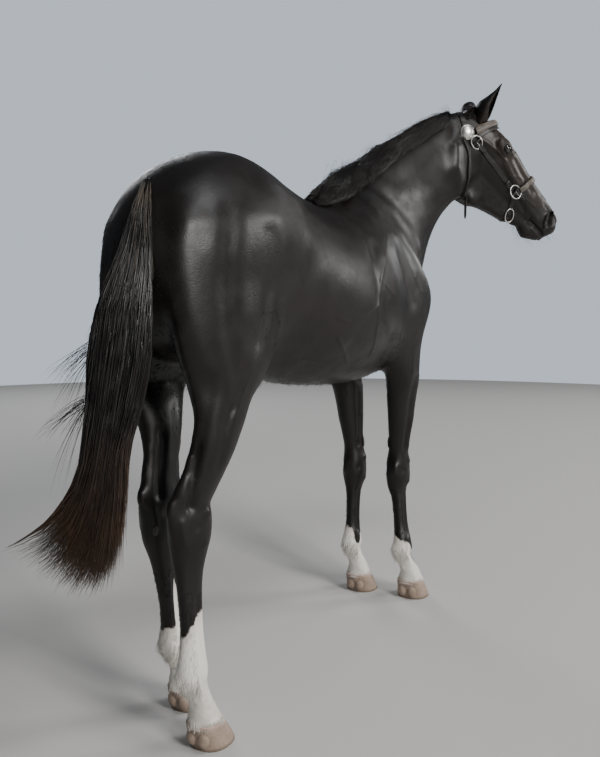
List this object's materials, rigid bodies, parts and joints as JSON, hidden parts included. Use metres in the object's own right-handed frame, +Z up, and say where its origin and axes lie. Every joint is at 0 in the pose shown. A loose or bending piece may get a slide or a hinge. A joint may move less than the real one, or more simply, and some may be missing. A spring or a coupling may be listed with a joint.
{
  "type": "horse",
  "caption": "Life-size model of a standing black riding horse with white socks, head turned to its right, wearing an in-hand show bridle with silver buckles.",
  "frame": {"origin": "on the floor under the middle of the whole horse's bounding box, at the level of the hoof soles", "axes": "+X forwards along the body, the way the chest faces, +Y to the horse's left, +Z up"},
  "size_m": [2.3386, 0.7646, 2.0129],
  "materials": {
    "coat": "short glossy black coat with white socks to the fetlocks",
    "long_hair": "black mane, forelock and tail, the tail's ends reddish brown",
    "hoof_horn": "pale greyish-pink horn",
    "eye": "dark brown, wet",
    "black_leather": "polished",
    "brown_leather": "polished",
    "silver": "polished silver"
  },
  "bodies": {
    "root": {"browband": "brown_leather", "cheek_strap_left": "black_leather", "cheek_strap_right": "black_leather", "chin_strap": "black_leather", "crownpiece": "black_leather", "ear_left": "coat", "ear_right": "coat", "eye_left": "eye", "eye_right": "eye", "forelock": "long_hair", "head": "coat", "hoof_fore_left": "hoof_horn", "hoof_fore_right": "hoof_horn", "hoof_hind_left": "hoof_horn", "hoof_hind_right": "hoof_horn", "jaw_strap_left": "black_leather", "jaw_strap_right": "black_leather", "leg_fore_left_lower": "coat", "leg_fore_left_upper": "coat", "leg_fore_right_lower": "coat", "leg_fore_right_upper": "coat", "leg_hind_left_lower": "coat", "leg_hind_left_upper": "coat", "leg_hind_right_lower": "coat", "leg_hind_right_upper": "coat", "lower_buckle_left": "silver", "lower_buckle_right": "silver", "mane": "long_hair", "neck": "coat", "noseband": "black_leather", "ring_left": "silver", "ring_right": "silver", "rosette_left": "silver", "rosette_right": "silver", "tail": "long_hair", "throatlatch": "black_leather", "throatlatch_end": "black_leather", "trunk": "coat", "upper_buckle_left": "silver", "upper_buckle_right": "silver"}
  },
  "joints": []
}
